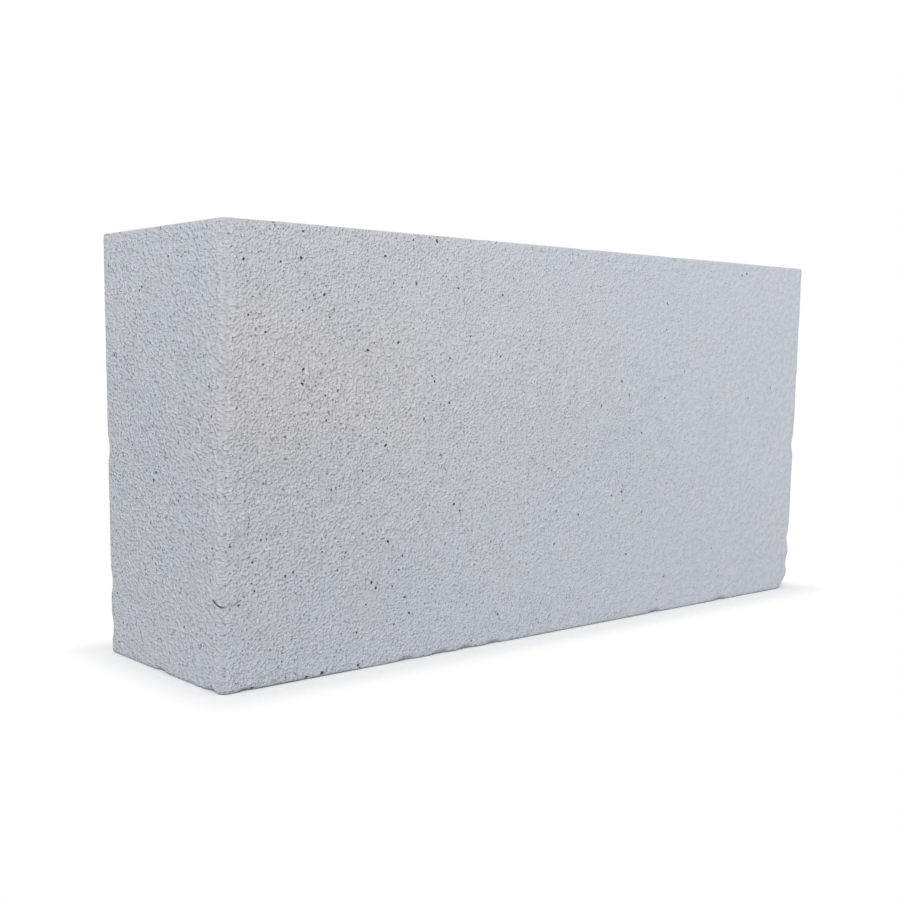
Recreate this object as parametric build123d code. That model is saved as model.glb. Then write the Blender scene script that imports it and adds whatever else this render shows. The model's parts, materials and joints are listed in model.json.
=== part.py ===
from build123d import *
from math import sqrt
import os

# Insulating brick: one light, porous block of fired clay, the side-arch format of a kiln lining.
# It stands on its narrow long face. X runs along the length, Y through the thickness and Z up,
# and the origin is the middle of the base. The front is the broad face towards -Y, and the left
# end is the one towards -X. All sizes are in millimetres.

# Format
LENGTH = 230.0
HEIGHT = 114.0
TOP_THICKNESS = 65.0
BASE_THICKNESS = 59.0

# Arrises: crisp where the faces were cut, rubbed soft by handling at the front left
CUT_ARRIS_RADIUS = 0.4
RUBBED_ARRIS_RADIUS = 2.4

# Worn corners: how far the wear reaches from the corner along each arris
FRONT_RIGHT_BASE_WEAR = 6.5
FRONT_LEFT_BASE_WEAR = 2.4
FRONT_LEFT_TOP_WEAR = 3.0

# Rubbed flats beside the left end: one on the top front arris, one under the base front arris
TOP_RUB_LENGTH = 24.0
TOP_RUB_DEPTH = 0.9
TOP_RUB_FROM_LEFT = 5.0
BASE_RUB_LENGTH = 64.0
BASE_RUB_DEPTH = 0.42
BASE_RUB_FROM_LEFT = 20.0

# Flake broken off under the base front arris, beside the left end
FLAKE_LENGTH = 6.0
FLAKE_DEPTH = 0.8
FLAKE_FROM_LEFT = 7.2

# The base rub and the flake open downwards, and lean this share of a rise to the front
UNDERCUT_LEAN = 0.4

# Crumbled stretches of the other arrises, each placed by its middle
CRUMB_LENGTH = 8.0
CRUMB_DEPTH = 0.9
BASE_FRONT_CRUMBS_FROM_LEFT = (56.5, 68.5, 78.0, 88.0, 158.0, 192.0)
BASE_LEFT_CRUMBS_FROM_FRONT = (5.0, 31.0)
TOP_FRONT_CRUMBS_FROM_LEFT = (78.0, 120.0, 160.0)
BACK_LEFT_CRUMBS_FROM_BASE = (7.0, 19.5, 56.0)
FRONT_RIGHT_CRUMBS_FROM_BASE = (9.0, 18.0, 52.0)

# Crease pressed round the rubbed arris while the clay was soft: an arc that opens upwards, set a
# little towards the front, and deeper on the left end than on the front
CREASE_RADIUS = 4.5
CREASE_HALF_ANGLE = 45.0
CREASE_WIDTH = 0.45
CREASE_END_DEPTH = 0.4
CREASE_FRONT_DEPTH = 0.15
CREASE_FROM_BASE = 21.5
CREASE_TO_FRONT = 0.3

# The middle of a worn corner's ball lies this many reaches in from each face
BALL_SET_IN = 1.6

LEFT, RIGHT = -1, 1
FRONT, BACK = -1, 1
BASE, TOP = -1, 1


def half_thickness(height):
    """Half the thickness of the tapered section at a height above the base."""
    return (BASE_THICKNESS + (TOP_THICKNESS - BASE_THICKNESS) * height / HEIGHT) / 2


def arris_point(x, face, z):
    """A point of the front or back face, before any arris is rounded."""
    return Vector(x, face * half_thickness(z), z)


def corner(end, face, level):
    """A sharp corner of the block."""
    return arris_point(end * LENGTH / 2, face, HEIGHT if level == TOP else 0.0)


def uprights(block):
    """The upright edges of a block, from the front left to the back right."""
    upright = [edge for edge in block.edges() if abs((edge @ 1 - edge @ 0).Z) > HEIGHT / 2]
    return ShapeList(upright).sort_by(lambda edge: edge.center().X + edge.center().Y)


def rubbed_block(set_in=0.0):
    """The tapered block with its rubbed arris, and every face set in by the same distance."""
    section = Polygon(
        (-BASE_THICKNESS / 2 + set_in, set_in),
        (BASE_THICKNESS / 2 - set_in, set_in),
        (TOP_THICKNESS / 2 - set_in, HEIGHT - set_in),
        (-TOP_THICKNESS / 2 + set_in, HEIGHT - set_in),
        align=None,
    )
    block = extrude(Plane.YZ * section, amount=LENGTH / 2 - set_in, both=True)
    return fillet(uprights(block)[0], RUBBED_ARRIS_RADIUS - set_in)


def ease_cut_arrises(block):
    """Rounds the three cut uprights, then the edges round the top and the base."""
    rubbed_sides = 2  # the upright edges where the rubbed arris runs out into its two faces
    block = fillet(uprights(block)[rubbed_sides:], CUT_ARRIS_RADIUS)
    level_faces = block.faces().filter_by(Axis.Z)
    return fillet(level_faces.edges(), CUT_ARRIS_RADIUS)


def worn_corner(end, face, level, reach):
    """What is worn off a corner: the corner's cell, less a ball that meets each arris at the reach."""
    inward = Vector(-end, -face, -level)
    ball_radius = reach * sqrt((BALL_SET_IN - 1) ** 2 + 2 * BALL_SET_IN**2)
    ball = Pos(corner(end, face, level) + inward * reach * BALL_SET_IN) * Sphere(ball_radius)
    cell = Pos(corner(end, face, level)) * Box(2 * reach, 2 * reach, 2 * reach)
    return cell - ball


def scoop(middle, outward, length, depth):
    """A ball that takes a shallow scoop of this length and depth out of an arris."""
    radius = (length**2 / 4 + depth**2) / (2 * depth)
    return Pos(middle + outward.normalized() * (radius - depth)) * Sphere(radius)


def arris_scoops():
    """The rubs, the flake and the crumbled stretches, as the balls that take them out."""
    left_end, right_end = LEFT * LENGTH / 2, RIGHT * LENGTH / 2
    top_front, base_front = Vector(0, FRONT, TOP), Vector(0, FRONT, BASE)
    under_front = Vector(0, FRONT * UNDERCUT_LEAN, BASE)
    top_rub = arris_point(left_end + TOP_RUB_FROM_LEFT, FRONT, HEIGHT)
    base_rub = arris_point(left_end + BASE_RUB_FROM_LEFT, FRONT, 0)
    flake = arris_point(left_end + FLAKE_FROM_LEFT, FRONT, 0)
    scoops = [
        scoop(top_rub, top_front, TOP_RUB_LENGTH, TOP_RUB_DEPTH),
        scoop(base_rub, under_front, BASE_RUB_LENGTH, BASE_RUB_DEPTH),
        scoop(flake, under_front, FLAKE_LENGTH, FLAKE_DEPTH),
    ]
    crumbs = [(arris_point(left_end + x, FRONT, 0), base_front) for x in BASE_FRONT_CRUMBS_FROM_LEFT]
    for x in TOP_FRONT_CRUMBS_FROM_LEFT:
        crumbs.append((arris_point(left_end + x, FRONT, HEIGHT), top_front))
    for from_front in BASE_LEFT_CRUMBS_FROM_FRONT:
        crumbs.append((corner(LEFT, FRONT, BASE) + Vector(0, from_front, 0), Vector(LEFT, 0, BASE)))
    for z in BACK_LEFT_CRUMBS_FROM_BASE:
        crumbs.append((arris_point(left_end, BACK, z), Vector(LEFT, BACK, 0)))
    for z in FRONT_RIGHT_CRUMBS_FROM_BASE:
        crumbs.append((arris_point(right_end, FRONT, z), Vector(RIGHT, FRONT, 0)))
    return scoops + [scoop(middle, outward, CRUMB_LENGTH, CRUMB_DEPTH) for middle, outward in crumbs]


def arris_crease():
    """The crease: an arc-shaped slot seen square to the arris, kept to its depth below each face."""
    middle = arris_point(LEFT * LENGTH / 2, FRONT, CREASE_FROM_BASE + CREASE_RADIUS)
    facing = Plane(origin=middle, x_dir=(1, -1, 0), z_dir=(LEFT, FRONT, 0))
    arc = CenterArc((CREASE_TO_FRONT, 0), CREASE_RADIUS, 270 - CREASE_HALF_ANGLE, 2 * CREASE_HALF_ANGLE)
    reach_in = CREASE_RADIUS + RUBBED_ARRIS_RADIUS
    slot = extrude(facing * SlotArc(arc, CREASE_WIDTH), amount=reach_in, both=True)
    shallower = Pos(0, FRONT * (CREASE_END_DEPTH - CREASE_FRONT_DEPTH), 0)
    return slot - shallower * rubbed_block(CREASE_END_DEPTH)


def insulating_brick():
    """The whole brick: the eased block, less its crease, its worn corners and its scooped arrises."""
    brick = ease_cut_arrises(rubbed_block()) - arris_crease()
    brick -= worn_corner(RIGHT, FRONT, BASE, FRONT_RIGHT_BASE_WEAR)
    brick -= worn_corner(LEFT, FRONT, BASE, FRONT_LEFT_BASE_WEAR)
    brick -= worn_corner(LEFT, FRONT, TOP, FRONT_LEFT_TOP_WEAR)
    return brick - arris_scoops()


brick = insulating_brick().solid()
brick.label = "insulating_brick"
os.makedirs("parts", exist_ok=True)
export_step(brick, "parts/insulating_brick.step")
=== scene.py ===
import json
from math import cos, pi, radians, sin

import bmesh
import bpy
import numpy as np
from bpy.props import FloatProperty, FloatVectorProperty, IntProperty, PointerProperty
from bpy.types import Operator, Panel, PropertyGroup
from mathutils import Matrix, Vector


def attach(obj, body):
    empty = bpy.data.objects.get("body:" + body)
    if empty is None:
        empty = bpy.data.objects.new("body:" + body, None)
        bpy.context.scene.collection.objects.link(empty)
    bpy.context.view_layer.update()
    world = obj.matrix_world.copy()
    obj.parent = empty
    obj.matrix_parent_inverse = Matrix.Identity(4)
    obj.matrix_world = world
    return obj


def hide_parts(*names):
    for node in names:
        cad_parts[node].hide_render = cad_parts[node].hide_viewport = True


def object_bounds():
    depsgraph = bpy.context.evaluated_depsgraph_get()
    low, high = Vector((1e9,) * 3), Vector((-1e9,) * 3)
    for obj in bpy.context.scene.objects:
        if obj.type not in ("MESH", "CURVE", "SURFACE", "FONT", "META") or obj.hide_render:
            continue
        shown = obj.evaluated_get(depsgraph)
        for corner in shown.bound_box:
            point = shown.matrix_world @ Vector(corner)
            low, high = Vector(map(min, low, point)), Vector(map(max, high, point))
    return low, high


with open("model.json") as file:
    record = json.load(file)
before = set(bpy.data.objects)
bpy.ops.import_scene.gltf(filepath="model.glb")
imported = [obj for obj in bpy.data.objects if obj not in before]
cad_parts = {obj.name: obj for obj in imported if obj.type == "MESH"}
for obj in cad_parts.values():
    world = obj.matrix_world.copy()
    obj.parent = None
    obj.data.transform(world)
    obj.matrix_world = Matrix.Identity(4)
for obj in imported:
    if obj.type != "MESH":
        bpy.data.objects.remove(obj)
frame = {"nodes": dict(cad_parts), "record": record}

bl_info = {
    "name": "Insulating Brick",
    "version": (1, 0, 0),
    "blender": (4, 5, 0),
    "location": "3D View > Sidebar > Brick",
    "description": "Dresses a light fired-clay brick with its grain, pores and crumbled arrises",
    "category": "Object",
}

MM = 0.001
WHITE = (1, 1, 1, 1)
CAD_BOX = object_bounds()
BRICK_NODE = "insulating_brick"
# The brick's six flat faces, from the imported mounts: a point on each and its outward direction
FACES = {
    mount["name"]: (Vector(mount["pos_m"]), Vector(mount["axis"])) for mount in frame["record"]["mounts"]
}
# What Geometry Nodes store on the skin for the material to read
PORE_DEPTH = "pore_depth"
RUBBED_AND_SHADED = "rubbed"

# Skin: how near two points join, how often its grid is smoothed, and the bend that leaves an edge sharp
MERGE_DISTANCE = 0.001 * MM
SKIN_SMOOTHING = 1
SHARP_BEND = radians(50)

# Arrises: how square to an axis the surface looks on a face, on an arris and in the middle of a rubbed one
FLAT_SQUARENESS = 0.97
ARRIS_SQUARENESS = 0.9
RUBBED_SQUARENESS = 0.8

# Pores: small ones outnumber large ones by this power, and this share of them is left at the right end
LARGE_PORE_RARITY = 5.0
RIGHT_END_PORES = 0.15
# Least and most that a pore or a crumb is stretched along its own axes
PORE_STRETCH = ((0.8, 0.8, 0.8), (1.5, 1.1, 1.3))
CRUMB_STRETCH = ((0.6, 0.6, 0.6), (1.5, 1.1, 1.1))
# How far outside the arris a crumb's middle lies, in its own radii
CRUMB_LIFT = 0.55
# No crumb breaks off this near the rubbed arris at the front left, counted along its two faces together
CRUMB_FREE_REACH = 12 * MM

# Warm patch on the front: its middle, how fast it fades along each axis, its reach and its strength
PATCH_MIDDLE = (-95 * MM, -32 * MM, 75.7 * MM)
PATCH_FADE = (0.6, 6, 1.4)
PATCH_REACH = 80 * MM
PATCH_LEAN = 0.75
# Mottling: its size and weight, and the sums of lean and mottling at which the clay is all cool or all warm
MOTTLE_SIZE = 16 * MM
MOTTLE_WEIGHT = 0.55
ALL_COOL = 0.22
ALL_WARM = 1.05

# Sandy grains: drawn out through the thickness, with the noise levels where valleys and crests start and end
GRAIN_SCALE = (1, 0.65, 1)
VALLEY_START, VALLEY_END = 0.48, 0.28
CREST_START, CREST_END = 0.52, 0.74
VALLEY_DEPTH = 0.7
# The grain is full up to here along the front, and fades to this share at the right end
GRAIN_FADE_START = -95 * MM
RIGHT_END_GRAIN = 0.13
# Behind the front it keeps at least this share, which sets in between these two depths below that face
HIDDEN_GRAIN = 0.7
HIDDEN_START = 0.6 * MM
HIDDEN_END = 3.0 * MM
# It swells and ebbs in patches of this size, between these shares, over the middle range of the noise
SWELL_SIZE = 5 * MM
SWELL_NOISE = (0.35, 0.65)
SWELL_SHARES = (0.92, 1.08)
# Its share at the top and the base, at half height, and in the middle of a rubbed arris
EDGE_GRAIN = 0.85
BELLY_GRAIN = 1.2
RUBBED_GRAIN = 0.75
# Coarser grains: their size, the middle range of their noise, and their weight under faded and full grain
COARSE_SIZE = 1.6 * MM
COARSE_NOISE = (0.3, 0.7)
FADED_COARSE_WEIGHT = 0.27
FULL_COARSE_WEIGHT = 0.13
# How much lighter a crest is painted than the flats, as painted light, with the valleys painted darker as
# shade
GRAIN_PAINTED_LIGHT_AND_SHADE = 0.18

# Painted brightness: painted shade at the base, painted light at the top, painted shade at the left end and
# on a rubbed arris
BASE_PAINTED_SHADE = 0.968
TOP_PAINTED_LIGHT = 1.024
LEFT_END_PAINTED_SHADE = 0.962
RUBBED_ARRIS_PAINTED_SHADE = 0.865
# The left end's painted shade runs out here along the front
LEFT_END_SHADE_REACH = -45 * MM

# Small pits: their spacing, their least and greatest radius in spacings, and the share of it that is floor
PIT_SPACING = 1.25 * MM
SMALL_PIT, LARGE_PIT = 0.04, 0.27
PIT_FLOOR = 0.5
# Brightness that painted shade leaves on a pit's floor, and its depth in grain heights
PIT_FLOOR_PAINTED_SHADE = 0.64
PIT_DEPTH = 1.2

# Pores' painted shade: the depths at which it starts and is full, and the power by which it follows the
# grain
PORE_SHADE_START = 0.05 * MM
PORE_SHADE_FULL = 0.24 * MM
PORE_SHADE_POWER = 0.5

# The tile of each face in the map for baking: the axes that run across and up it, and its column
BAKE_TILES = {
    "front_face": (0, 2, 0),
    "back_face": (0, 2, 0),
    "top_face": (0, 1, 0),
    "base_face": (0, 1, 0),
    "left_end": (1, 2, 1),
    "right_end": (1, 2, 1),
}
BAKE_GAP = 4 * MM

# Stage: the floor in metres, the lamps by angles in degrees and sizes in metres, and the camera
FLOOR_RADIUS = 3.0
FLOOR_SIDES = 96
FLOOR_FADE = 14 * MM
KEY_LAMP = {"azimuth": -45, "elevation": 35, "distance": 3.0, "size": 1.1}
RIGHT_LAMP = {"azimuth": 40, "elevation": 25, "distance": 0.7, "size": 0.3}
SENSOR_MILLIMETRES = 36.0
CLIP_START = 10 * MM


def linear(hex_colour):
    """An sRGB hex colour as linear red, green, blue."""
    levels = [int(hex_colour[start:start + 2], 16) / 255 for start in (1, 3, 5)]
    return tuple(
        level / 12.92 if level <= 0.04045 else ((level + 0.055) / 1.055) ** 2.4 for level in levels
    )


def length_prop(name, description, millimetres):
    """A length that a user may change, with its default in millimetres."""
    return FloatProperty(
        name=name, description=description, default=millimetres * MM, min=0, unit="LENGTH", precision=5
    )


def angle_prop(name, description, degrees):
    """An angle that a user may change, with its default in degrees."""
    return FloatProperty(name=name, description=description, default=radians(degrees), subtype="ANGLE")


def colour_prop(name, description, hex_colour):
    """A colour that a user may change, with its default as sRGB hex."""
    return FloatVectorProperty(
        name=name, description=description, default=linear(hex_colour), subtype="COLOR", min=0, max=1
    )


def add_node(tree, kind, inputs=None, **settings):
    """Adds a node, sets its settings, then links or sets each of the inputs given."""
    node = tree.nodes.new(kind)
    for key, value in settings.items():
        setattr(node, key, value)
    for key, value in (inputs or {}).items():
        if isinstance(value, bpy.types.NodeSocket):
            tree.links.new(value, node.inputs[key])
        else:
            node.inputs[key].default_value = value
    return node


class BrickFaceSettings(PropertyGroup):
    """Sizes and colours of the brick's fired surface."""

    grid_step: length_prop("Grid step", "Spacing of the fine grid that the relief is drawn on", 0.45)
    lump_size: length_prop("Lump size", "Width of the gentle lumps of the pressed clay", 3.0)
    lump_height: length_prop("Lump height", "Deepest hollow between the lumps", 0.02)
    skin_triangles: IntProperty(
        name="Skin triangles", description="Triangles kept for the skin, before its pores",
        default=64000, min=1000,
    )
    pore_gap: length_prop("Pore gap", "Least distance between two pores", 1.0)
    pores_per_square_metre: FloatProperty(
        name="Pore count", description="Most pores on a square metre of face", default=60000, min=0
    )
    small_pore: length_prop("Small pore", "Radius of the smallest open pores", 0.13)
    large_pore: length_prop("Large pore", "Radius of the largest open pores", 0.5)
    crumbs_per_square_metre: FloatProperty(
        name="Crumb count", description="Crumbs broken off a square metre of arris", default=260000, min=0
    )
    small_crumb: length_prop("Small crumb", "Radius of the smallest crumbs", 0.4)
    large_crumb: length_prop("Large crumb", "Radius of the largest crumbs", 1.3)
    grain_size: length_prop("Grain size", "Width of the sandy grains of the face", 0.72)
    grain_height: length_prop("Grain height", "Height of the sandy grains of the face", 0.3)
    seed: IntProperty(name="Seed", description="Start of every random draw", default=7, min=0)
    cool_clay: colour_prop("Cool clay", "Colour of most of the face", "#BEC2C9")
    warm_clay: colour_prop("Warm clay", "Colour of the faint warm patch", "#C6C5C8")
    # Painted shade deep in the pores, the crease and the crumb hollows, where little light reaches
    painted_pore_shade: colour_prop("Pore shade", "Colour deep in the pores", "#5A5859")


class StageSettings(PropertyGroup):
    """Where the camera stands and how the brick is lit."""

    azimuth: angle_prop("Azimuth", "Direction of the camera round the brick", -41.8)
    elevation: angle_prop("Elevation", "Height of the camera as an angle", 4.24)
    roll: angle_prop("Roll", "Turn of the camera about its own axis", 0.63)
    distance: length_prop("Distance", "From the camera to the point that it looks at", 396.2)
    aim: FloatVectorProperty(
        name="Aim", description="Point that the camera looks at",
        default=(-2.4 * MM, 0, 53.4 * MM), unit="LENGTH", precision=5,
    )
    lens: FloatProperty(
        name="Lens", description="Focal length of the camera in millimetres", default=50.52, min=1
    )
    shift: FloatVectorProperty(
        name="Shift", description="How far the picture lies off the lens axis, in picture widths",
        default=(-0.0456, -0.0022), size=2,
    )
    key_power: FloatProperty(
        name="Key power", description="Power of the lamp over the near corner",
        default=49.0, min=0, unit="POWER",
    )
    right_power: FloatProperty(
        name="Right power", description="Power of the lamp beside the right end",
        default=0.12, min=0, unit="POWER",
    )
    sky_level: FloatProperty(
        name="Sky level", description="Strength of the soft light all round", default=0.73, min=0
    )
    floor_colour: colour_prop("Floor", "Colour of the pale floor", "#F4F4F4")
    bounce_colour: colour_prop("Bounce", "Colour of the light that the floor throws back", "#DADADA")
    sky_colour: colour_prop("Sky", "Colour of the soft light all round", "#FDFDFF")


def new_tree(name, sockets):
    """A geometry tree with a mesh in and out, and one named input for each of the sockets given."""
    tree = bpy.data.node_groups.new(name, "GeometryNodeTree")
    tree.interface.new_socket("Mesh", in_out="INPUT", socket_type="NodeSocketGeometry")
    tree.interface.new_socket("Mesh", in_out="OUTPUT", socket_type="NodeSocketGeometry")
    for socket, kind in sockets.items():
        tree.interface.new_socket(socket, in_out="INPUT", socket_type=kind)
    given = add_node(tree, "NodeGroupInput").outputs
    return tree, given


def add_tree(piece, tree, values):
    """Puts a geometry tree on a piece as a modifier, with its inputs set."""
    modifier = piece.modifiers.new(tree.name, "NODES")
    modifier.node_group = tree
    for item in tree.interface.items_tree:
        if item.in_out == "INPUT" and item.name in values:
            modifier[item.identifier] = values[item.name]


def relief_tree():
    """Gentle lumps of pressed clay: every point sinks by up to the height, and none rises."""
    tree, given = new_tree(
        "Pressed clay relief",
        {"Size": "NodeSocketFloat", "Height": "NodeSocketFloat", "Smoothing": "NodeSocketInt"},
    )
    position = add_node(tree, "GeometryNodeInputPosition").outputs["Position"]
    smooth = add_node(
        tree, "GeometryNodeBlurAttribute", {"Value": position, "Iterations": given["Smoothing"]},
        data_type="FLOAT_VECTOR",
    )
    smoothed = add_node(
        tree, "GeometryNodeSetPosition", {"Geometry": given["Mesh"], "Position": smooth.outputs["Value"]}
    )
    scale = add_node(tree, "ShaderNodeMath", {0: 1.0, 1: given["Size"]}, operation="DIVIDE")
    lumps = add_node(
        tree, "ShaderNodeTexNoise",
        {"Vector": position, "Scale": scale.outputs[0], "Detail": 2.0, "Roughness": 0.55},
    )
    sink = add_node(
        tree, "ShaderNodeMath", {0: lumps.outputs["Fac"], 1: given["Height"]}, operation="MULTIPLY"
    )
    inward = add_node(tree, "ShaderNodeMath", {0: sink.outputs[0], 1: -1.0}, operation="MULTIPLY")
    normal = add_node(tree, "GeometryNodeInputNormal").outputs["Normal"]
    offset = add_node(
        tree, "ShaderNodeVectorMath", {0: normal, "Scale": inward.outputs[0]}, operation="SCALE"
    )
    sunk = add_node(
        tree, "GeometryNodeSetPosition",
        {"Geometry": smoothed.outputs["Geometry"], "Offset": offset.outputs["Vector"]},
    )
    add_node(tree, "NodeGroupOutput", {"Mesh": sunk.outputs["Geometry"]})
    return tree


def squareness(tree):
    """A field: 1 where the surface looks along one of the three axes, and less on an arris."""
    normal = add_node(tree, "GeometryNodeInputNormal").outputs["Normal"]
    size = add_node(tree, "ShaderNodeVectorMath", {0: normal}, operation="ABSOLUTE")
    parts = add_node(tree, "ShaderNodeSeparateXYZ", {"Vector": size.outputs["Vector"]}).outputs
    level = add_node(tree, "ShaderNodeMath", {0: parts["X"], 1: parts["Y"]}, operation="MAXIMUM")
    most = add_node(tree, "ShaderNodeMath", {0: level.outputs[0], 1: parts["Z"]}, operation="MAXIMUM")
    return most.outputs[0]


def rubbed_and_shaded_field(tree):
    """A field: 1 in the middle of an arris, where hands have rubbed off the grain and the material paints
    shade, and 0 on the faces.
    """
    rubbed = add_node(
        tree, "ShaderNodeMapRange",
        {"Value": squareness(tree), "From Min": FLAT_SQUARENESS, "From Max": RUBBED_SQUARENESS},
    )
    return rubbed.outputs["Result"]


def crisp_arris(tree):
    """A field that is true on every arris but the rubbed one at the front left, which sheds no crumbs."""
    slanted = add_node(
        tree, "ShaderNodeMath", {0: squareness(tree), 1: ARRIS_SQUARENESS}, operation="LESS_THAN"
    )
    position = add_node(tree, "GeometryNodeInputPosition").outputs["Position"]
    diagonal = add_node(tree, "ShaderNodeVectorMath", {0: position, 1: (1, 1, 0)}, operation="DOT_PRODUCT")
    nearest_kept = CAD_BOX[0].x + CAD_BOX[0].y + CRUMB_FREE_REACH
    clear = add_node(
        tree, "ShaderNodeMath", {0: diagonal.outputs["Value"], 1: nearest_kept}, operation="GREATER_THAN"
    )
    crisp = add_node(
        tree, "ShaderNodeMath", {0: slanted.outputs[0], 1: clear.outputs[0]}, operation="MULTIPLY"
    )
    return crisp.outputs[0]


def scattered_pores(tree, given, ball):
    """Open pores over the faces: most are small and a few are large, and they thin out to the right."""
    position = add_node(tree, "GeometryNodeInputPosition").outputs["Position"]
    along = add_node(tree, "ShaderNodeSeparateXYZ", {"Vector": position}).outputs["X"]
    thinned = add_node(
        tree, "ShaderNodeMapRange",
        {
            "Value": along,
            "From Min": CAD_BOX[0].x,
            "From Max": CAD_BOX[1].x,
            "To Min": 1.0,
            "To Max": RIGHT_END_PORES,
        },
    )
    spread = add_node(
        tree, "GeometryNodeDistributePointsOnFaces",
        {
            "Mesh": given["Mesh"],
            "Distance Min": given["Pore Gap"],
            "Density Max": given["Pore Count"],
            "Density Factor": thinned.outputs["Result"],
            "Seed": given["Seed"],
        },
        distribute_method="POISSON",
    )
    draw = add_node(
        tree, "FunctionNodeRandomValue", {2: 0.0, 3: 1.0, "Seed": given["Seed"]}, data_type="FLOAT"
    )
    few_large = add_node(
        tree, "ShaderNodeMath", {0: draw.outputs[1], 1: LARGE_PORE_RARITY}, operation="POWER"
    )
    radius = add_node(
        tree, "ShaderNodeMapRange",
        {"Value": few_large.outputs[0], "To Min": given["Small Pore"], "To Max": given["Large Pore"]},
    )
    stretch = add_node(
        tree, "FunctionNodeRandomValue",
        {0: PORE_STRETCH[0], 1: PORE_STRETCH[1], "Seed": given["Seed"]}, data_type="FLOAT_VECTOR",
    )
    scale = add_node(
        tree, "ShaderNodeVectorMath", {0: stretch.outputs[0], "Scale": radius.outputs["Result"]},
        operation="SCALE",
    )
    spin = add_node(
        tree, "FunctionNodeRandomValue", {0: (0, 0, 0), 1: (0, 0, 2 * pi), "Seed": given["Seed"]},
        data_type="FLOAT_VECTOR",
    )
    turn = add_node(
        tree, "FunctionNodeRotateRotation",
        {"Rotation": spread.outputs["Rotation"], "Rotate By": spin.outputs[0]}, rotation_space="LOCAL",
    )
    pores = add_node(
        tree, "GeometryNodeInstanceOnPoints",
        {
            "Points": spread.outputs["Points"],
            "Instance": ball,
            "Rotation": turn.outputs["Rotation"],
            "Scale": scale.outputs["Vector"],
        },
    )
    return pores.outputs["Instances"]


def scattered_crumbs(tree, given, ball):
    """Uneven crumbs broken off along the crisp arrises."""
    spread = add_node(
        tree, "GeometryNodeDistributePointsOnFaces",
        {
            "Mesh": given["Mesh"],
            "Selection": crisp_arris(tree),
            "Density": given["Crumb Count"],
            "Seed": given["Seed"],
        },
        distribute_method="RANDOM",
    )
    radius = add_node(
        tree, "FunctionNodeRandomValue",
        {2: given["Small Crumb"], 3: given["Large Crumb"], "Seed": given["Seed"]}, data_type="FLOAT",
    )
    stretch = add_node(
        tree, "FunctionNodeRandomValue",
        {0: CRUMB_STRETCH[0], 1: CRUMB_STRETCH[1], "Seed": given["Seed"]}, data_type="FLOAT_VECTOR",
    )
    scale = add_node(
        tree, "ShaderNodeVectorMath", {0: stretch.outputs[0], "Scale": radius.outputs[1]}, operation="SCALE"
    )
    turn = add_node(
        tree, "FunctionNodeRandomValue", {0: (0, 0, 0), 1: (2 * pi, 2 * pi, 2 * pi), "Seed": given["Seed"]},
        data_type="FLOAT_VECTOR",
    )
    lift = add_node(tree, "ShaderNodeMath", {0: radius.outputs[1], 1: CRUMB_LIFT}, operation="MULTIPLY")
    outward = add_node(
        tree, "ShaderNodeVectorMath", {0: spread.outputs["Normal"], "Scale": lift.outputs[0]},
        operation="SCALE",
    )
    lifted = add_node(
        tree, "GeometryNodeSetPosition",
        {"Geometry": spread.outputs["Points"], "Offset": outward.outputs["Vector"]},
    )
    crumbs = add_node(
        tree, "GeometryNodeInstanceOnPoints",
        {
            "Points": lifted.outputs["Geometry"],
            "Instance": ball,
            "Rotation": turn.outputs[0],
            "Scale": scale.outputs["Vector"],
        },
    )
    return crumbs.outputs["Instances"]


def pore_tree():
    """Pores and crumbs cut out of the skin, with their depth and the rubbed arrises stored on it, where the
    material thins the grain and paints shade.
    """
    tree, given = new_tree(
        "Pores and crumbs",
        {
            "Pore Gap": "NodeSocketFloat",
            "Pore Count": "NodeSocketFloat",
            "Small Pore": "NodeSocketFloat",
            "Large Pore": "NodeSocketFloat",
            "Crumb Count": "NodeSocketFloat",
            "Small Crumb": "NodeSocketFloat",
            "Large Crumb": "NodeSocketFloat",
            "Seed": "NodeSocketInt",
            "Solid": "NodeSocketObject",
            "Material": "NodeSocketMaterial",
        },
    )
    skin = given["Mesh"]
    ball = add_node(tree, "GeometryNodeMeshIcoSphere", {"Radius": 1.0, "Subdivisions": 1}).outputs["Mesh"]

    # The skin kept within the solid, which brings back the solid's fine creases, then all the cuts at once
    solid = add_node(tree, "GeometryNodeObjectInfo", {"Object": given["Solid"]}).outputs["Geometry"]
    within = add_node(tree, "GeometryNodeMeshBoolean", operation="INTERSECT", solver="MANIFOLD")
    for mesh in (skin, solid):
        tree.links.new(mesh, within.inputs["Mesh 2"])
    cut = add_node(
        tree, "GeometryNodeMeshBoolean", {"Mesh 1": within.outputs["Mesh"]},
        operation="DIFFERENCE", solver="MANIFOLD",
    )
    for balls in (scattered_pores(tree, given, ball), scattered_crumbs(tree, given, ball)):
        tree.links.new(balls, cut.inputs["Mesh 2"])

    below_skin = add_node(tree, "GeometryNodeProximity", {0: skin}, target_element="FACES")
    on_skin = add_node(
        tree, "GeometryNodeSampleNearestSurface", {"Mesh": skin, "Value": rubbed_and_shaded_field(tree)},
        data_type="FLOAT",
    )
    marked = cut.outputs["Mesh"]
    for name, value in ((PORE_DEPTH, below_skin.outputs["Distance"]), (RUBBED_AND_SHADED, on_skin.outputs["Value"])):
        marked = add_node(
            tree, "GeometryNodeStoreNamedAttribute", {"Geometry": marked, "Name": name, "Value": value},
            data_type="FLOAT", domain="POINT",
        ).outputs["Geometry"]
    whole = add_node(tree, "GeometryNodeRealizeInstances", {"Geometry": marked})
    dressed = add_node(
        tree, "GeometryNodeSetMaterial",
        {"Geometry": whole.outputs["Geometry"], "Material": given["Material"]},
    )
    add_node(tree, "NodeGroupOutput", {"Mesh": dressed.outputs["Geometry"]})
    return tree


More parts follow.
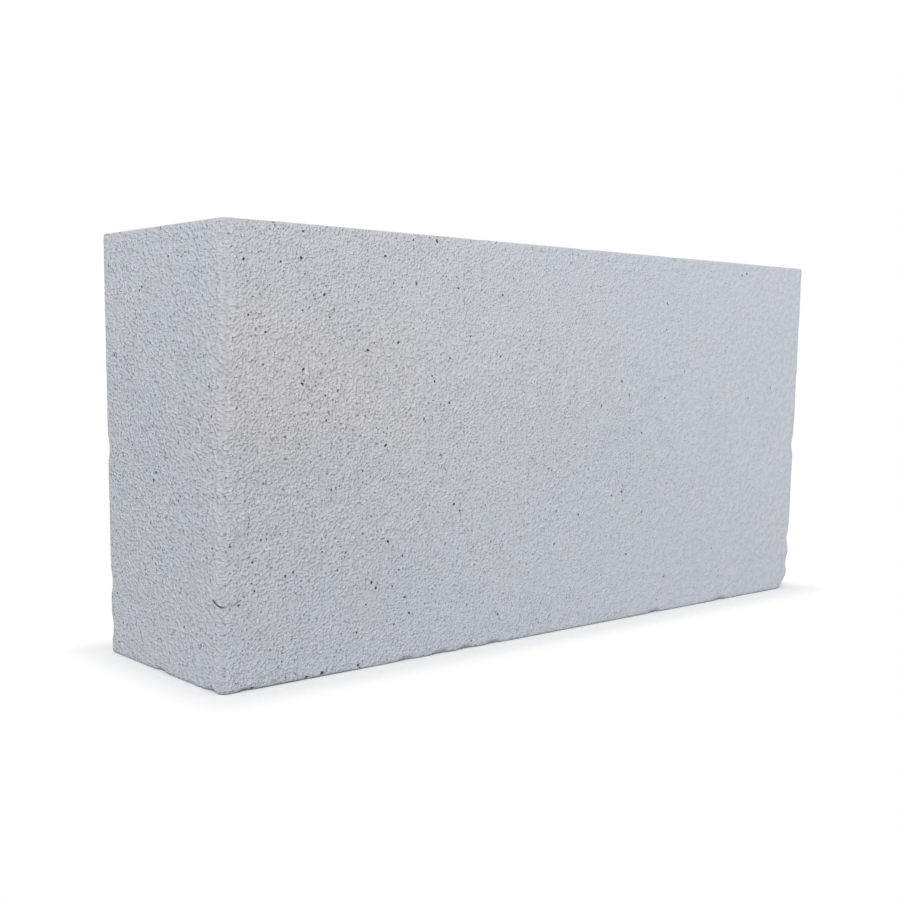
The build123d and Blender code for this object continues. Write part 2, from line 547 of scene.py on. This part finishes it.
def clay_colour(tree, place, settings):
    """Cool clay, with one broad and faint warm patch on the front near its left end, mottled and soft."""
    from_middle = add_node(tree, "ShaderNodeVectorMath", {0: place, 1: PATCH_MIDDLE}, operation="SUBTRACT")
    stretched = add_node(
        tree, "ShaderNodeVectorMath", {0: from_middle.outputs["Vector"], 1: PATCH_FADE},
        operation="MULTIPLY",
    )
    away = add_node(tree, "ShaderNodeVectorMath", {0: stretched.outputs["Vector"]}, operation="LENGTH")
    lean = add_node(
        tree, "ShaderNodeMapRange",
        {"Value": away.outputs["Value"], "From Max": PATCH_REACH, "To Min": PATCH_LEAN, "To Max": 0.0},
    )
    mottle = add_node(
        tree, "ShaderNodeTexNoise",
        {"Vector": place, "Scale": 1 / MOTTLE_SIZE, "Detail": 2.0, "Roughness": 0.5},
    )
    leaning = add_node(
        tree, "ShaderNodeMath",
        {0: mottle.outputs["Fac"], 1: MOTTLE_WEIGHT, 2: lean.outputs["Result"]}, operation="MULTIPLY_ADD",
    )
    warmth = add_node(
        tree, "ShaderNodeMapRange",
        {"Value": leaning.outputs[0], "From Min": ALL_COOL, "From Max": ALL_WARM},
    )
    clay = add_node(
        tree, "ShaderNodeMix",
        {"Factor": warmth.outputs["Result"], "A": (*settings.cool_clay, 1), "B": (*settings.warm_clay, 1)},
        data_type="RGBA",
    )
    return clay.outputs["Result"]


def grain_fade(tree, place):
    """How far the grain has faded: full by the left end, least at the front's right end, kept up behind."""
    along = add_node(tree, "ShaderNodeSeparateXYZ", {"Vector": place}).outputs["X"]
    on_front = add_node(
        tree, "ShaderNodeMapRange",
        {
            "Value": along,
            "From Min": GRAIN_FADE_START,
            "From Max": CAD_BOX[1].x,
            "To Min": 1.0,
            "To Max": RIGHT_END_GRAIN,
        },
    )
    front, forwards = FACES["front_face"]
    front_reach = front.dot(forwards)
    reach = add_node(tree, "ShaderNodeVectorMath", {0: place, 1: forwards}, operation="DOT_PRODUCT")
    behind = add_node(
        tree, "ShaderNodeMapRange",
        {
            "Value": reach.outputs["Value"],
            "From Min": front_reach - HIDDEN_START,
            "From Max": front_reach - HIDDEN_END,
            "To Min": 0.0,
            "To Max": HIDDEN_GRAIN,
        },
    )
    faded = add_node(
        tree, "ShaderNodeMath", {0: on_front.outputs["Result"], 1: behind.outputs["Result"]},
        operation="MAXIMUM",
    )
    return faded.outputs[0]


def grain_strength(tree, place, faded, rubbed):
    """How much grain shows: the faded grain, uneven in patches, most at half height, less where rubbed."""
    patches = add_node(
        tree, "ShaderNodeTexNoise",
        {"Vector": place, "Scale": 1 / SWELL_SIZE, "Detail": 1.0, "Roughness": 0.5},
    )
    swell = add_node(
        tree, "ShaderNodeMapRange",
        {
            "Value": patches.outputs["Fac"],
            "From Min": SWELL_NOISE[0],
            "From Max": SWELL_NOISE[1],
            "To Min": SWELL_SHARES[0],
            "To Max": SWELL_SHARES[1],
        },
    )
    half_height = CAD_BOX[1].z / 2
    up = add_node(tree, "ShaderNodeSeparateXYZ", {"Vector": place}).outputs["Z"]
    from_edge = add_node(tree, "ShaderNodeMath", {0: up, 1: half_height}, operation="PINGPONG")
    belly = add_node(
        tree, "ShaderNodeMapRange",
        {
            "Value": from_edge.outputs[0],
            "From Max": half_height,
            "To Min": EDGE_GRAIN,
            "To Max": BELLY_GRAIN,
        },
    )
    kept = add_node(tree, "ShaderNodeMapRange", {"Value": rubbed, "To Min": 1.0, "To Max": RUBBED_GRAIN})
    strength = faded
    for share in (swell, belly, kept):
        strength = add_node(
            tree, "ShaderNodeMath", {0: strength, 1: share.outputs["Result"]}, operation="MULTIPLY"
        ).outputs[0]
    return strength


def sandy_relief(tree, place, strength, faded, settings):
    """Sandy grains with dark valleys and light crests, painted as shade and light as well as raised by the
    bump, over coarser ones that show where they fade.
    """
    drawn = add_node(tree, "ShaderNodeVectorMath", {0: place, 1: GRAIN_SCALE}, operation="MULTIPLY")
    grains = add_node(
        tree, "ShaderNodeTexNoise",
        {
            "Vector": drawn.outputs["Vector"],
            "Scale": 1 / settings.grain_size,
            "Detail": 1.0,
            "Roughness": 0.5,
        },
    ).outputs["Fac"]
    valley = add_node(
        tree, "ShaderNodeMapRange", {"Value": grains, "From Min": VALLEY_START, "From Max": VALLEY_END}
    )
    crest = add_node(
        tree, "ShaderNodeMapRange", {"Value": grains, "From Min": CREST_START, "From Max": CREST_END}
    )
    bare = add_node(
        tree, "ShaderNodeMath",
        {0: valley.outputs["Result"], 1: -VALLEY_DEPTH, 2: crest.outputs["Result"]},
        operation="MULTIPLY_ADD",
    )
    fine = add_node(tree, "ShaderNodeMath", {0: bare.outputs[0], 1: strength}, operation="MULTIPLY")
    coarse = add_node(
        tree, "ShaderNodeTexNoise",
        {"Vector": place, "Scale": 1 / COARSE_SIZE, "Detail": 0.5, "Roughness": 0.5},
    )
    swing = add_node(
        tree, "ShaderNodeMapRange",
        {
            "Value": coarse.outputs["Fac"],
            "From Min": COARSE_NOISE[0],
            "From Max": COARSE_NOISE[1],
            "To Min": -1.0,
            "To Max": 1.0,
        },
    )
    weight = add_node(
        tree, "ShaderNodeMapRange",
        {"Value": faded, "To Min": FADED_COARSE_WEIGHT, "To Max": FULL_COARSE_WEIGHT},
    )
    relief = add_node(
        tree, "ShaderNodeMath",
        {0: swing.outputs["Result"], 1: weight.outputs["Result"], 2: fine.outputs[0]},
        operation="MULTIPLY_ADD",
    )
    return relief.outputs[0]


def painted_shade_and_light(tree, place, rubbed):
    """Painted shade towards the base and the left end, painted light towards the top, and painted shade in
    the middle of a rubbed arris.
    """
    parts = add_node(tree, "ShaderNodeSeparateXYZ", {"Vector": place}).outputs
    # Painted light towards the top and painted shade towards the base, as light falls from above
    painted_height_light = add_node(
        tree, "ShaderNodeMapRange",
        {
            "Value": parts["Z"],
            "From Min": CAD_BOX[0].z,
            "From Max": CAD_BOX[1].z,
            "To Min": BASE_PAINTED_SHADE,
            "To Max": TOP_PAINTED_LIGHT,
        },
    )
    # Painted shade on the left end and on the front next to it
    painted_end_shade = add_node(
        tree, "ShaderNodeMapRange",
        {
            "Value": parts["X"],
            "From Min": CAD_BOX[0].x,
            "From Max": LEFT_END_SHADE_REACH,
            "To Min": LEFT_END_PAINTED_SHADE,
            "To Max": 1.0,
        },
    )
    # Painted shade in the middle of a rubbed arris, which holds down the key lamp's highlight there
    painted_arris_shade = add_node(
        tree, "ShaderNodeMapRange", {"Value": rubbed, "To Min": 1.0, "To Max": RUBBED_ARRIS_PAINTED_SHADE}
    )
    painted_face_light = add_node(
        tree, "ShaderNodeMath", {0: painted_height_light.outputs["Result"], 1: painted_end_shade.outputs["Result"]},
        operation="MULTIPLY",
    )
    painted_shading = add_node(
        tree, "ShaderNodeMath", {0: painted_face_light.outputs[0], 1: painted_arris_shade.outputs["Result"]}, operation="MULTIPLY"
    )
    return painted_shading.outputs[0]


def small_pits(tree, place, strength):
    """Pits too small to model: balls of air in the clay that its face cuts open, 1 on a pit's floor."""
    air = add_node(tree, "ShaderNodeTexVoronoi", {"Vector": place, "Scale": 1 / PIT_SPACING})
    chance = add_node(tree, "ShaderNodeSeparateColor", {"Color": air.outputs["Color"]}).outputs["Red"]
    ball = add_node(tree, "ShaderNodeMapRange", {"Value": chance, "To Min": SMALL_PIT, "To Max": LARGE_PIT})
    core = add_node(tree, "ShaderNodeMath", {0: ball.outputs["Result"], 1: PIT_FLOOR}, operation="MULTIPLY")
    dent = add_node(
        tree, "ShaderNodeMapRange",
        {"Value": air.outputs["Distance"], "From Min": ball.outputs["Result"], "From Max": core.outputs[0]},
    )
    pits = add_node(tree, "ShaderNodeMath", {0: dent.outputs["Result"], 1: strength}, operation="MULTIPLY")
    return pits.outputs[0]


def painted_pore_darkness(tree, strength):
    """How much of the painted shade shows in the pores, the crease and the crumb hollows: more with depth,
    and less where the grain is weak.
    """
    depth = add_node(tree, "ShaderNodeAttribute", attribute_name=PORE_DEPTH).outputs["Fac"]
    deep = add_node(
        tree, "ShaderNodeMapRange",
        {"Value": depth, "From Min": PORE_SHADE_START, "From Max": PORE_SHADE_FULL},
    )
    share = add_node(tree, "ShaderNodeMath", {0: strength, 1: PORE_SHADE_POWER}, operation="POWER")
    darkness = add_node(
        tree, "ShaderNodeMath", {0: deep.outputs["Result"], 1: share.outputs[0]}, operation="MULTIPLY"
    )
    return darkness.outputs[0]


def fired_clay(settings):
    """Fired insulating clay, pressed and cut: dry, dead matt and sandy, pale cool grey, with painted shade
    in its pores and pits and painted light on its grain.
    """
    material = bpy.data.materials.new("Fired insulating clay")
    material.use_nodes = True
    tree = material.node_tree
    tree.nodes.clear()
    place = add_node(tree, "ShaderNodeTexCoord").outputs["Object"]
    rubbed = add_node(tree, "ShaderNodeAttribute", attribute_name=RUBBED_AND_SHADED).outputs["Fac"]
    faded = grain_fade(tree, place)
    strength = grain_strength(tree, place, faded, rubbed)
    relief = sandy_relief(tree, place, strength, faded, settings)
    pits = small_pits(tree, place, strength)

    # Colour: painted light on the crests, painted shade in the valleys, in the pits and deep in the pores,
    # over the painted shade and light of the faces and arrises
    shaded = add_node(
        tree, "ShaderNodeMath", {0: relief, 1: GRAIN_PAINTED_LIGHT_AND_SHADE, 2: painted_shade_and_light(tree, place, rubbed)},
        operation="MULTIPLY_ADD",
    )
    painted_pit_shade = add_node(tree, "ShaderNodeMapRange", {"Value": pits, "To Min": 1.0, "To Max": PIT_FLOOR_PAINTED_SHADE})
    brightness = add_node(
        tree, "ShaderNodeMath", {0: shaded.outputs[0], 1: painted_pit_shade.outputs["Result"]}, operation="MULTIPLY"
    )
    grainy = add_node(
        tree, "ShaderNodeVectorMath",
        {0: clay_colour(tree, place, settings), "Scale": brightness.outputs[0]}, operation="SCALE",
    )
    colour = add_node(
        tree, "ShaderNodeMix",
        {
            "Factor": painted_pore_darkness(tree, strength),
            "A": grainy.outputs["Vector"],
            "B": (*settings.painted_pore_shade, 1),
        },
        data_type="RGBA",
    )

    # Relief: the grains stand up and the pits lie below them
    height = add_node(tree, "ShaderNodeMath", {0: pits, 1: -PIT_DEPTH, 2: relief}, operation="MULTIPLY_ADD")
    bump = add_node(
        tree, "ShaderNodeBump",
        {"Height": height.outputs[0], "Distance": settings.grain_height, "Strength": 1.0},
    )
    surface = add_node(
        tree, "ShaderNodeBsdfPrincipled",
        {
            "Base Color": colour.outputs["Result"],
            "Roughness": 0.95,
            "IOR": 1.5,
            "Specular IOR Level": 0.2,
            "Normal": bump.outputs["Normal"],
        },
    )
    add_node(tree, "ShaderNodeOutputMaterial", {"Surface": surface.outputs["BSDF"]})
    return material


def evaluated_mesh(piece):
    """The piece's mesh with its modifiers applied, as a plain mesh."""
    graph = bpy.context.evaluated_depsgraph_get()
    return bpy.data.meshes.new_from_object(piece.evaluated_get(graph))


def merged_copy(node, name):
    """A new object with a copy of a CAD node's mesh, its triangles joined and its stored normals dropped."""
    mesh = node.data.copy()
    mesh.name = name
    body = bmesh.new()
    body.from_mesh(mesh)
    bmesh.ops.remove_doubles(body, verts=body.verts, dist=MERGE_DISTANCE)
    body.to_mesh(mesh)
    body.free()
    mesh.materials.clear()
    if "custom_normal" in mesh.attributes:
        mesh.attributes.remove(mesh.attributes["custom_normal"])
    piece = bpy.data.objects.new(name, mesh)
    bpy.context.scene.collection.objects.link(piece)
    return piece


def add_bake_map(mesh):
    """The map that baking uses: each of the six faces laid flat at one scale, in a tile of its own."""
    low = np.array(CAD_BOX[0])
    size = np.array(CAD_BOX[1]) - low
    centres = np.empty((len(mesh.polygons), 3), np.float32)
    mesh.polygons.foreach_get("center", centres.ravel())
    sides = np.empty(len(mesh.polygons), np.int32)
    mesh.polygons.foreach_get("loop_total", sides)
    points = np.empty((len(mesh.vertices), 3), np.float32)
    mesh.vertices.foreach_get("co", points.ravel())
    corners = np.empty(len(mesh.loops), np.int32)
    mesh.loops.foreach_get("vertex_index", corners)
    outside = [(centres - np.array(FACES[name][0])) @ np.array(FACES[name][1]) for name in BAKE_TILES]
    nearest = np.repeat(np.argmax(outside, axis=0), sides)
    flat = np.empty((len(mesh.loops), 2), np.float32)
    reached = [BAKE_GAP, BAKE_GAP]
    column_starts = (BAKE_GAP, size[0] + 2 * BAKE_GAP)
    for number, (across, upwards, column) in enumerate(BAKE_TILES.values()):
        chosen = nearest == number
        local = points[corners[chosen]] - low
        flat[chosen, 0] = local[:, across] + column_starts[column]
        flat[chosen, 1] = local[:, upwards] + reached[column]
        reached[column] += size[upwards] + BAKE_GAP
    layer = mesh.uv_layers.new(name="OFBake")
    layer.uv.foreach_set("vector", (flat / max(reached)).ravel())


class BRICK_OT_fired_block(Operator):
    """Make the brick's fired surface over its solid"""

    bl_idname = "brick.fired_block"
    bl_label = "Fired Block"

    def execute(self, context):
        settings = context.scene.brick_faces
        piece = merged_copy(frame["nodes"][BRICK_NODE], "fired_brick")
        solid = merged_copy(frame["nodes"][BRICK_NODE], "solid_outline")
        grid = piece.modifiers.new("Fine grid", "REMESH")
        grid.mode = "VOXEL"
        grid.voxel_size = settings.grid_step
        add_tree(
            piece,
            relief_tree(),
            {"Size": settings.lump_size, "Height": settings.lump_height, "Smoothing": SKIN_SMOOTHING},
        )
        fine = evaluated_mesh(piece)
        piece.modifiers.clear()
        piece.data = fine
        thin = piece.modifiers.new("Thinned skin", "DECIMATE")
        thin.ratio = min(1.0, settings.skin_triangles / (2 * len(fine.polygons)))
        thin.use_collapse_triangulate = True
        add_tree(
            piece,
            pore_tree(),
            {
                "Pore Gap": settings.pore_gap,
                "Pore Count": settings.pores_per_square_metre,
                "Small Pore": settings.small_pore,
                "Large Pore": settings.large_pore,
                "Crumb Count": settings.crumbs_per_square_metre,
                "Small Crumb": settings.small_crumb,
                "Large Crumb": settings.large_crumb,
                "Seed": settings.seed,
                "Solid": solid,
                "Material": fired_clay(settings),
            },
        )
        made = evaluated_mesh(piece)
        if not made.polygons:
            raise RuntimeError("The cuts left nothing of the brick's skin")
        piece.modifiers.clear()
        piece.data = made
        bpy.data.objects.remove(solid)
        made.polygons.foreach_set("use_smooth", np.ones(len(made.polygons), bool))
        made.set_sharp_from_angle(angle=SHARP_BEND)
        add_bake_map(made)
        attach(piece, "root")
        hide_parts(BRICK_NODE)
        return {"FINISHED"}


def seen_directly(tree):
    """1 for rays from the camera, from a mirror or through glass, and 0 for other light."""
    path = add_node(tree, "ShaderNodeLightPath").outputs
    either = add_node(
        tree, "ShaderNodeMath", {0: path["Is Camera Ray"], 1: path["Is Glossy Ray"]}, operation="MAXIMUM"
    )
    direct = add_node(
        tree, "ShaderNodeMath", {0: either.outputs[0], 1: path["Is Transmission Ray"]}, operation="MAXIMUM"
    )
    return direct.outputs[0]


def towards(azimuth, elevation):
    """The direction from the brick to something that stands at an azimuth and an elevation."""
    return Vector((sin(azimuth) * cos(elevation), -cos(azimuth) * cos(elevation), sin(elevation)))


def add_lamp(name, azimuth, elevation, distance, size, power):
    """A square soft lamp that faces the middle of the brick, with its angles in degrees."""
    lamp = bpy.data.lights.new(name, "AREA")
    lamp.size = size
    lamp.energy = power
    back = towards(radians(azimuth), radians(elevation))
    holder = bpy.data.objects.new(name, lamp)
    holder.location = (CAD_BOX[0] + CAD_BOX[1]) / 2 + back * distance
    holder.rotation_euler = back.to_track_quat("Z", "Y").to_euler()
    bpy.context.scene.collection.objects.link(holder)


def studio_board(settings):
    """Matt studio board: it takes a soft shadow close to the brick and fades to plain white further out."""
    material = bpy.data.materials.new("Matt studio board")
    material.use_nodes = True
    tree = material.node_tree
    tree.nodes.clear()
    place = add_node(tree, "ShaderNodeTexCoord").outputs["Object"]
    far = add_node(tree, "ShaderNodeVectorMath", {0: place}, operation="ABSOLUTE")
    beyond = add_node(
        tree, "ShaderNodeVectorMath", {0: far.outputs["Vector"], 1: CAD_BOX[1]}, operation="SUBTRACT"
    )
    outside = add_node(
        tree, "ShaderNodeVectorMath", {0: beyond.outputs["Vector"], 1: (0, 0, 0)}, operation="MAXIMUM"
    )
    away = add_node(tree, "ShaderNodeVectorMath", {0: outside.outputs["Vector"]}, operation="LENGTH")
    fade = add_node(
        tree, "ShaderNodeMapRange", {"Value": away.outputs["Value"], "From Max": FLOOR_FADE},
        interpolation_type="SMOOTHSTEP",
    )
    direct = seen_directly(tree)
    shown = add_node(tree, "ShaderNodeMath", {0: fade.outputs["Result"], 1: direct}, operation="MULTIPLY")
    tone = add_node(
        tree, "ShaderNodeMix",
        {"Factor": direct, "A": (*settings.bounce_colour, 1), "B": (*settings.floor_colour, 1)},
        data_type="RGBA",
    )
    board = add_node(tree, "ShaderNodeBsdfDiffuse", {"Color": tone.outputs["Result"]})
    white = add_node(tree, "ShaderNodeEmission", {"Color": WHITE, "Strength": 1.0})
    mix = add_node(
        tree, "ShaderNodeMixShader",
        {"Fac": shown.outputs[0], 1: board.outputs["BSDF"], 2: white.outputs["Emission"]},
    )
    add_node(tree, "ShaderNodeOutputMaterial", {"Surface": mix.outputs["Shader"]})
    return material


def add_floor(settings):
    """A round, flat floor under the brick."""
    mesh = bpy.data.meshes.new("floor")
    body = bmesh.new()
    bmesh.ops.create_circle(body, cap_ends=True, segments=FLOOR_SIDES, radius=FLOOR_RADIUS)
    body.to_mesh(mesh)
    body.free()
    mesh.materials.append(studio_board(settings))
    floor = bpy.data.objects.new("floor", mesh)
    bpy.context.scene.collection.objects.link(floor)


def add_world(settings):
    """Soft light all round, and plain white where the camera looks past the floor."""
    world = bpy.data.worlds.new("Soft studio")
    world.use_nodes = True
    tree = world.node_tree
    tree.nodes.clear()
    light = add_node(
        tree, "ShaderNodeBackground", {"Color": (*settings.sky_colour, 1), "Strength": settings.sky_level}
    )
    white = add_node(tree, "ShaderNodeBackground", {"Color": WHITE, "Strength": 1.0})
    mix = add_node(
        tree, "ShaderNodeMixShader",
        {"Fac": seen_directly(tree), 1: light.outputs["Background"], 2: white.outputs["Background"]},
    )
    add_node(tree, "ShaderNodeOutputWorld", {"Surface": mix.outputs["Shader"]})
    bpy.context.scene.world = world


def add_camera(settings):
    """The camera, turned about its own axis by the roll."""
    back = towards(settings.azimuth, settings.elevation)
    level = Vector((cos(settings.azimuth), sin(settings.azimuth), 0))
    upright = back.cross(level)
    right = level * cos(settings.roll) + upright * sin(settings.roll)
    up = upright * cos(settings.roll) - level * sin(settings.roll)
    camera = bpy.data.cameras.new("camera")
    camera.sensor_width = SENSOR_MILLIMETRES
    camera.lens = settings.lens
    camera.shift_x, camera.shift_y = settings.shift
    camera.clip_start = CLIP_START
    holder = bpy.data.objects.new("camera", camera)
    turned = Matrix((right, up, back)).transposed().to_4x4()
    holder.matrix_world = Matrix.Translation(Vector(settings.aim) + back * settings.distance) @ turned
    bpy.context.scene.collection.objects.link(holder)
    bpy.context.scene.camera = holder


class BRICK_OT_stage(Operator):
    """Set the floor, the light and the camera"""

    bl_idname = "brick.stage"
    bl_label = "Stage"

    def execute(self, context):
        settings = context.scene.brick_stage
        add_floor(settings)
        add_world(settings)
        add_lamp("key", **KEY_LAMP, power=settings.key_power)
        add_lamp("right", **RIGHT_LAMP, power=settings.right_power)
        add_camera(settings)
        context.scene.view_settings.view_transform = "Standard"
        return {"FINISHED"}


class BRICK_PT_panel(Panel):
    """The brick's operators and sizes in the sidebar"""

    bl_idname = "BRICK_PT_panel"
    bl_label = "Insulating Brick"
    bl_space_type = "VIEW_3D"
    bl_region_type = "UI"
    bl_category = "Brick"

    def draw(self, context):
        layout = self.layout
        for settings, operator in (
            (context.scene.brick_faces, BRICK_OT_fired_block),
            (context.scene.brick_stage, BRICK_OT_stage),
        ):
            box = layout.box()
            for name in settings.__annotations__:
                box.prop(settings, name)
            box.operator(operator.bl_idname)


CLASSES = (BrickFaceSettings, StageSettings, BRICK_OT_fired_block, BRICK_OT_stage, BRICK_PT_panel)


def register():
    for cls in CLASSES:
        bpy.utils.register_class(cls)
    bpy.types.Scene.brick_faces = PointerProperty(type=BrickFaceSettings)
    bpy.types.Scene.brick_stage = PointerProperty(type=StageSettings)


def unregister():
    del bpy.types.Scene.brick_stage
    del bpy.types.Scene.brick_faces
    for cls in reversed(CLASSES):
        bpy.utils.unregister_class(cls)


def main():
    register()
    bpy.ops.brick.fired_block()
    bpy.ops.brick.stage()


if __name__ == "__main__":
    main()
